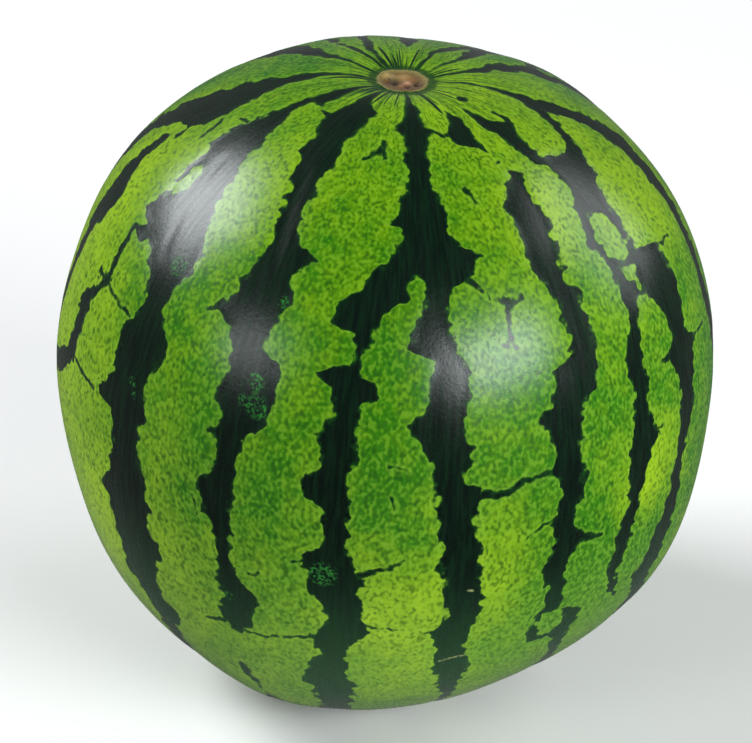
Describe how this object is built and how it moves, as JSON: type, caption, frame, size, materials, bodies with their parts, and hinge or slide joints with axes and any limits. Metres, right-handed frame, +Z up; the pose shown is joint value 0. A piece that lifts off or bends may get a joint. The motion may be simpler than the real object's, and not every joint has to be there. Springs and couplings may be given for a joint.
{
  "type": "watermelon",
  "caption": "Whole round watermelon with jagged dark stripes on a netted light green rind, a corky stem scar in a shallow dimple and a small flat spot to rest on.",
  "frame": {"origin": "middle of the fruit's bounding box, on the surface that it rests on", "axes": "+Z up, from the blossom end to the stem end; +X the way that the stem end leans; -Y towards the side that shows in front"},
  "size_m": [0.2378, 0.2398, 0.2371],
  "materials": {
    "rind": "smooth waxy rind with a soft satin sheen, light green with fine darker netting and jagged blackish-green stripes; tan corky stem scar"
  },
  "bodies": {
    "root": {"watermelon": "rind"}
  },
  "joints": []
}
